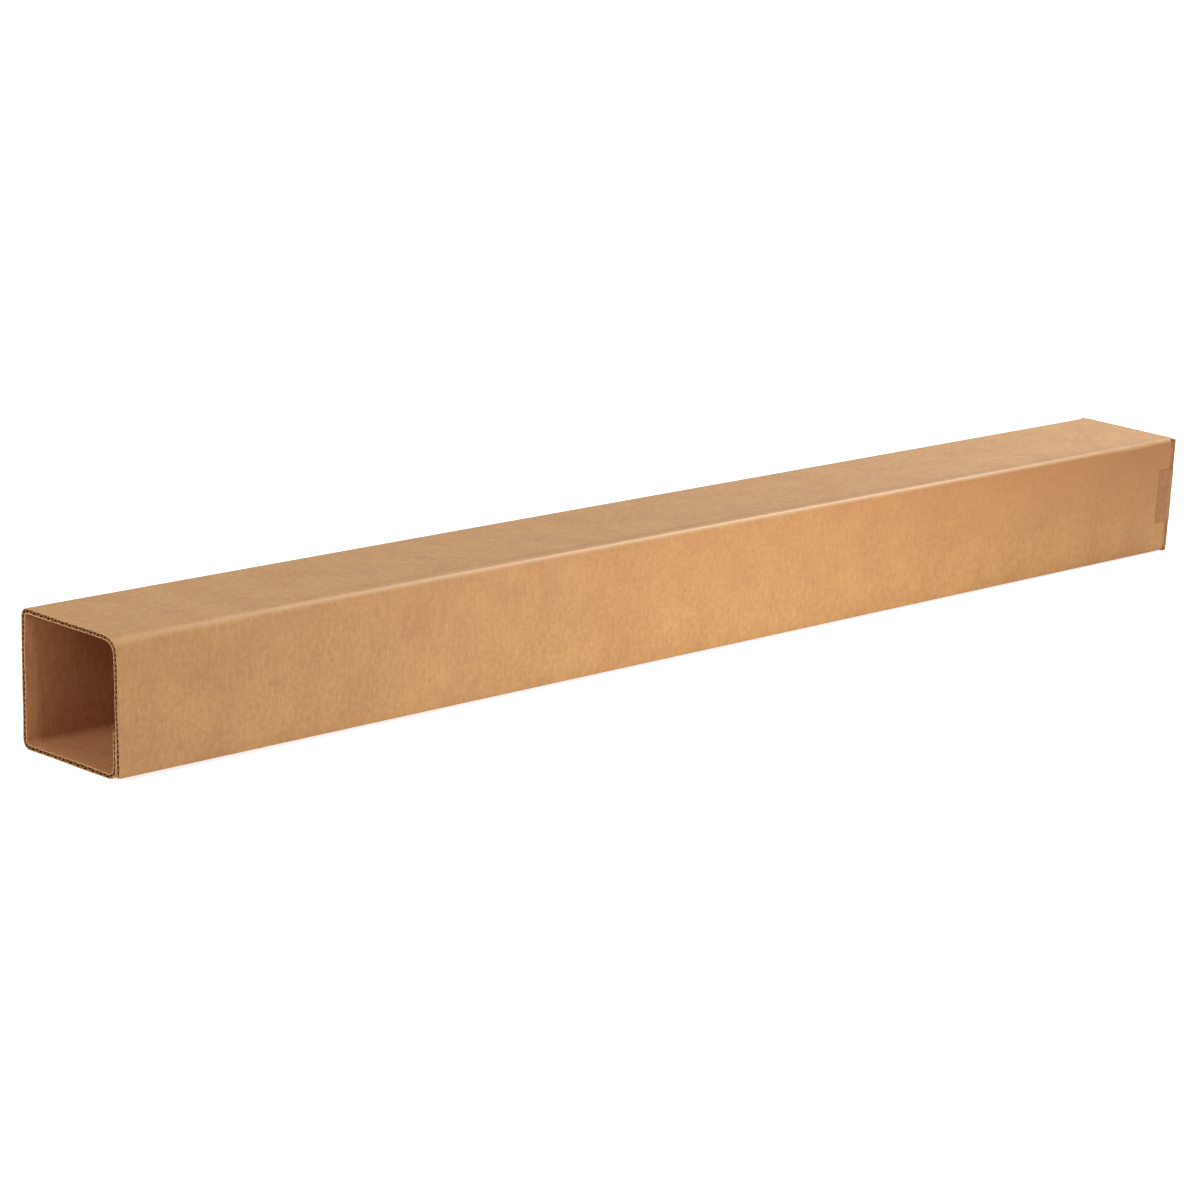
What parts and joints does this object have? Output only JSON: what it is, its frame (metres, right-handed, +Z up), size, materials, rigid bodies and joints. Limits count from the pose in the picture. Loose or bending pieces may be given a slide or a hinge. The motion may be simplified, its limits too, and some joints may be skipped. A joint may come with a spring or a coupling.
{
  "type": "half of a telescoping shipping box",
  "caption": "Long square tube folded from brown single-wall corrugated board, open at one end and shut with flaps and tape at the other; one half of a telescoping box.",
  "frame": {"origin": "middle of the underside of the whole box, on the floor", "axes": "+X along the box from the open end to the taped end, +Z up, and the side with the glued seam at its foot faces -Y"},
  "size_m": [1.2192, 0.1094, 0.1016],
  "materials": {
    "corrugated_board": "matte",
    "packing_tape": "gloss"
  },
  "bodies": {
    "root": {"corrugated_box": "corrugated_board", "closing_tape": "packing_tape"}
  },
  "joints": []
}
